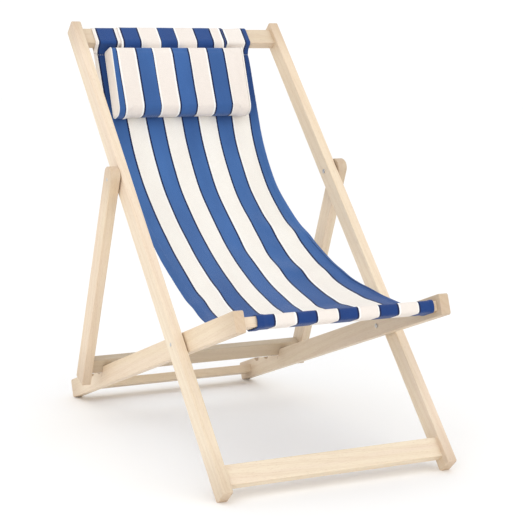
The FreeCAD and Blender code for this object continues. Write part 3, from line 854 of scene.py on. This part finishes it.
def stuff(obj, frames, pressure, cap):
    """Blows the block up with a short cloth run, and keeps each point near its start."""
    start = np.array([v.co for v in obj.data.vertices])
    cloth = obj.modifiers.new("stuffing", "CLOTH")
    cloth.settings.quality = 6
    cloth.settings.mass = 0.25
    cloth.settings.tension_stiffness = 14.0
    cloth.settings.compression_stiffness = 14.0
    cloth.settings.bending_stiffness = 0.6
    cloth.settings.use_pressure = True
    cloth.settings.uniform_pressure_force = pressure
    cloth.settings.effector_weights.gravity = 0.0
    cloth.point_cache.frame_start = 1
    cloth.point_cache.frame_end = frames
    scene = bpy.context.scene
    for f in range(1, frames + 1):
        scene.frame_set(f)
    apply_modifiers(obj)
    scene.frame_set(1)
    now = np.array([v.co for v in obj.data.vertices])
    move = now - start
    size = np.linalg.norm(move, axis=1)
    scale = np.minimum(1.0, cap / np.maximum(size, 1e-9))
    placed = start + move * scale[:, None]
    obj.data.vertices.foreach_set("co", placed.astype(np.float32).ravel())
    obj.data.update()


def hold_edges(obj, cut, soft):
    """Brings the points near the sewn edges back to the cover's cut shape: both ends and
    the top back seam."""
    guide = BVHTree.FromPolygons([v.co for v in cut.data.vertices],
                                 [tuple(p.vertices) for p in cut.data.polygons])
    for v in obj.data.vertices:
        end = min(v.co.x - PAD_X[0], PAD_X[1] - v.co.x)
        seam = math.hypot(v.co.y, v.co.z)
        crest = max(0.0, -v.co.z)
        hold = max(1 - ease((min(end, seam) - 0.004) / soft),
                   0.8 * (1 - ease((crest - 0.004) / 0.012)))
        if hold > 0.0:
            v.co = v.co.lerp(guide.find_nearest(v.co)[0], hold)


def build_pad(material, seam_material):
    cut = pad_block(0.0)
    block = pad_block(PAD_EASE)
    remesh = block.modifiers.new("remesh", "REMESH")
    remesh.mode = "VOXEL"
    remesh.voxel_size = PAD_VOXEL
    apply_modifiers(block)
    stuff(block, STUFF_FRAMES, STUFF_PRESSURE, STUFF_CAP)
    heights = [v.co.z for v in block.data.vertices if abs(v.co.x) < 0.06]
    low, high = min(heights), max(heights)
    for v in block.data.vertices:
        v.co.z = (v.co.z - high) / (high - low) * PAD_H
    hold_edges(block, cut, 0.030)
    for v in block.data.vertices:
        c = v.co
        n = noise.noise(Vector((c.x * 14.0, c.y * 10.0, c.z * 18.0)))
        fine = noise.noise(Vector((c.x * 44.0, c.y * 30.0 + 5.0, c.z * 40.0)))
        inner = ease(min(c.x - PAD_X[0], PAD_X[1] - c.x) / 0.03)
        if c.y < -0.012:
            c.y += (0.0018 * n + 0.0006 * fine) * inner
        c.y = min(c.y, -0.0004)
    sub = block.modifiers.new("smooth", "SUBSURF")
    sub.levels = sub.render_levels = 1
    apply_modifiers(block)
    hold_edges(block, cut, 0.006)
    bpy.data.objects.remove(cut)
    seam = pad_seams(seam_material)
    for obj in (block, seam):
        pts = [pad_point(*v.co) for v in obj.data.vertices]
        obj.data.vertices.foreach_set("co", np.array(pts, np.float32).ravel())
        obj.data.update()
        obj.data.shade_smooth()
    block.name = block.data.name = "headrest_pad"
    block.data.materials.clear()
    block.data.materials.append(material)
    return block, seam


def tube(name, loops, radius, material, sides=8):
    """Closed tubes through rings of points."""
    verts, faces = [], []
    for loop in loops:
        n = len(loop)
        base = len(verts)
        for i, p in enumerate(loop):
            a, b = loop[i - 1], loop[(i + 1) % n]
            d = (b - a).normalized()
            side = d.cross(Vector((1.0, 0.2, 0.1))).normalized()
            other = d.cross(side)
            for q in range(sides):
                w = 2 * math.pi * q / sides
                verts.append(tuple(p + (side * math.cos(w) + other * math.sin(w)) * radius))
        for i in range(n):
            j = (i + 1) % n
            for q in range(sides):
                r = (q + 1) % sides
                faces.append((base + i * sides + q, base + i * sides + r,
                              base + j * sides + r, base + j * sides + q))
    mesh = bpy.data.meshes.new(name)
    mesh.from_pydata(verts, [], faces)
    mesh.materials.append(material)
    return add_object(name, mesh)


def pad_seams(material):
    """The rolled seam round each end panel."""
    loops = [[Vector((x, y, z)) for y, z in even_ring(pad_outline(0.0002), 0.003)]
             for x in (PAD_X[0] + 0.0017, PAD_X[1] - 0.0017)]
    return tube("headrest_seams", loops, PIPING_R, material)


def even_ring(ring, step):
    """Points at even steps round a closed outline."""
    pts = np.array(ring + ring[:1])
    d = np.concatenate([[0.0], np.cumsum(np.linalg.norm(np.diff(pts, axis=0), axis=1))])
    at = np.linspace(0.0, d[-1], int(d[-1] / step), endpoint=False)
    return [(np.interp(t, d, pts[:, 0]), np.interp(t, d, pts[:, 1])) for t in at]


# The strap over the top rail, (along, out) from the rail's middle: outside the sling.
STRAP_HOOD = [
    (-19.0, 13.1), (-8.0, 13.2), (8.0, 13.2), (19.5, 13.1), (23.2, 11.8), (25.1, 8.4),
    (25.2, 0.0), (25.1, -8.2), (23.6, -12.0), (19.5, -13.6), (8.0, -14.6), (-6.0, -16.4),
]


def build_strap(material):
    hood = [spot("back", TOP_BAR_AT + a / 1000, o / 1000) for a, o in STRAP_HOOD]
    front = hood[0]
    seam = (front[0] - 0.0015, STRAP_LOW_Z)
    start = [(seam[0] + 0.0006, seam[1]), (seam[0], seam[1] + 0.006),
             (front[0] - 0.0022, front[1] - 0.008)]
    y, z = hood[-1]
    behind = [(y + 0.0030, z - 0.016), (y + 0.0042, z - 0.040), (y + 0.0040, z - 0.070),
              (y + 0.0030, z - 0.096)]
    line, along = path_through(start + hood + behind, 0.0034)
    tangent = unit_tangents(line)
    normal = np.stack([-tangent[:, 1], tangent[:, 0]], axis=1)
    width = STRAP_X[1] - STRAP_X[0]
    cols = np.linspace(0.0, width, 66)
    rows, cloth = [], []
    tail = along[-1] - 0.11
    for i, (py, pz) in enumerate(line):
        free = ease((along[i] - tail) / 0.09)
        row = []
        for a in cols:
            wave = math.sin(a * 34.0 + 0.6) * 0.6 + noise.noise(Vector((a * 16.0, 2.0, 7.0)))
            d = 0.0034 * wave * free
            d += 0.0004 * noise.noise(Vector((a * 40.0, along[i] * 40.0, 3.0)))
            row.append((STRAP_X[0] + a, py - normal[i][0] * d, pz - normal[i][1] * d))
            cloth.append((a, along[i], 0.0))
        rows.append(row)
    obj = grid_mesh("headrest_strap_cloth", rows, cloth, material)
    thicken(obj, STRAP_T)
    return obj, width, along[-1]


# ---- put it together -----------------------------------------------------------------
camera()
studio()

for k, (name, obj) in enumerate(sorted(NODES.items())):
    if "dowel" in name or name in ("top_rail", "foot_crossbar", "seat_front_bar",
                                   "seat_rear_bar", "prop_bar"):
        which = "seat" if "seat" in name else "prop" if "prop" in name else "back"
        mat = wood("wood_" + name, FRAMES[which][1], True, 1 + k * SEED_STEP,
                   SHADE_TONES.get(name, 1.0))
    elif "rail" in name or "leg" in name:
        degrees = FRAMES[name.split("_")[0]][1]
        mat = wood("wood_" + name, degrees, False, 1 + k * SEED_STEP, SHADE_TONES.get(name, 1.0),
                   rack=RACK if name.startswith("seat_rail") else None,
                   ends=wood_ends(obj, wood_axis(degrees, False)))
    elif "sleeve" in name:
        mat = metal("metal_" + name, (0.78, 0.77, 0.75, 1.0), 0.30)
    elif "screw" in name:
        mat = metal("metal_" + name, (0.70, 0.69, 0.68, 1.0), 0.34)
    elif "washer" in name:
        mat = nylon("nylon_" + name)
    else:
        continue
    obj.data.materials.clear()
    obj.data.materials.append(mat)

sling_mat = canvas("canvas_sling", SLING_BLUE, by_attribute, 0.35, SLING_AGE_AND_LIGHT, SLING_FADE_AND_LIGHT)
sling, sling_length, sling_rows, sling_along, sling_span = build_sling(sling_mat)
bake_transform(sling, "back_frame", "seat_frame", start=(0.0, 0.33, 0.83), end=(0.0, -0.40, 0.34))
set_sling_blend(sling, sling_rows, sling_along, sling_span)
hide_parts("sling")

thread = thread_material("thread_white", srgb(244, 240, 232))
SEAM_COLUMN = 40             # the column of cloth that a sewn row's slope is read from
SEAM_OUT, SEAM_R = 0.0010, 0.00035    # how far it stands off the cloth, and its radius
for name, body, at in (("sling_seam_top", "back_frame", sling_span[0] + 0.002),
                       ("sling_seam_low", "seat_frame", sling_span[1] + 0.008)):
    i = int(np.abs(sling_along - at).argmin())
    step = sling_rows[i + 1, SEAM_COLUMN] - sling_rows[i - 1, SEAM_COLUMN]
    off = np.array([0.0, step[2], -step[1]])
    path = sling_rows[i, 6:-6] + off / np.linalg.norm(off) * SEAM_OUT
    path = path[np.argsort(path[:, 0])]
    seam = sewn_row(name, path, SEAM_R, thread)
    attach(seam, body)


PAD_UP = PAD_TOP[1] * math.cos(math.radians(PAD_TILT)) \
    + PAD_TOP[0] * math.sin(math.radians(PAD_TILT))    # its top edge, square to the tilt


def by_pad(m):
    """(across, up the pad, depth) from the pad's place, so no UV map is needed."""
    place = m.new("TexCoord")
    turn = m.new("Mapping")
    turn.inputs["Rotation"].default_value = (math.radians(PAD_TILT), 0.0, 0.0)
    m.link(place, "Object", turn, "Vector")
    x, y, z = m.split(turn.outputs[0])[0:3]
    up = m.math("SUBTRACT", z, PAD_UP)
    across = m.math("ADD", m.math("ADD", x, PAD_MIDDLE + PAD_SHIFT),
                    m.math("MULTIPLY", up, PAD_SLANT))
    face = m.math("MULTIPLY", m.math("GREATER_THAN", x, PAD_X[0] + PANEL),
                  m.math("LESS_THAN", x, PAD_X[1] - PANEL))
    return m.join(m.math("MULTIPLY", across, face), z, y)


pad_stripes = [(a + PAD_MIDDLE, b + PAD_MIDDLE) for a, b in PAD_BLUE]
pad_mat = canvas("canvas_pad", pad_stripes, by_pad, fade_and_light=((0.0, 0.36),))
seam_mat = thread_material("seam_white", srgb(254, 252, 248))
pad, seams = build_pad(pad_mat, seam_mat)
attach(pad, "headrest")
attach(seams, "headrest")
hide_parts("headrest_cover", "headrest_filling")

strap_stripes = [(a - STRAP_X[0], b - STRAP_X[0]) for a, b in STRAP_BLUE]
strap_mat = canvas("canvas_strap", strap_stripes, by_attribute, fade_and_light=((0.0, 0.17),))
strap, strap_w, strap_l = build_strap(strap_mat)
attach(strap, "back_frame")
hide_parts("headrest_strap")
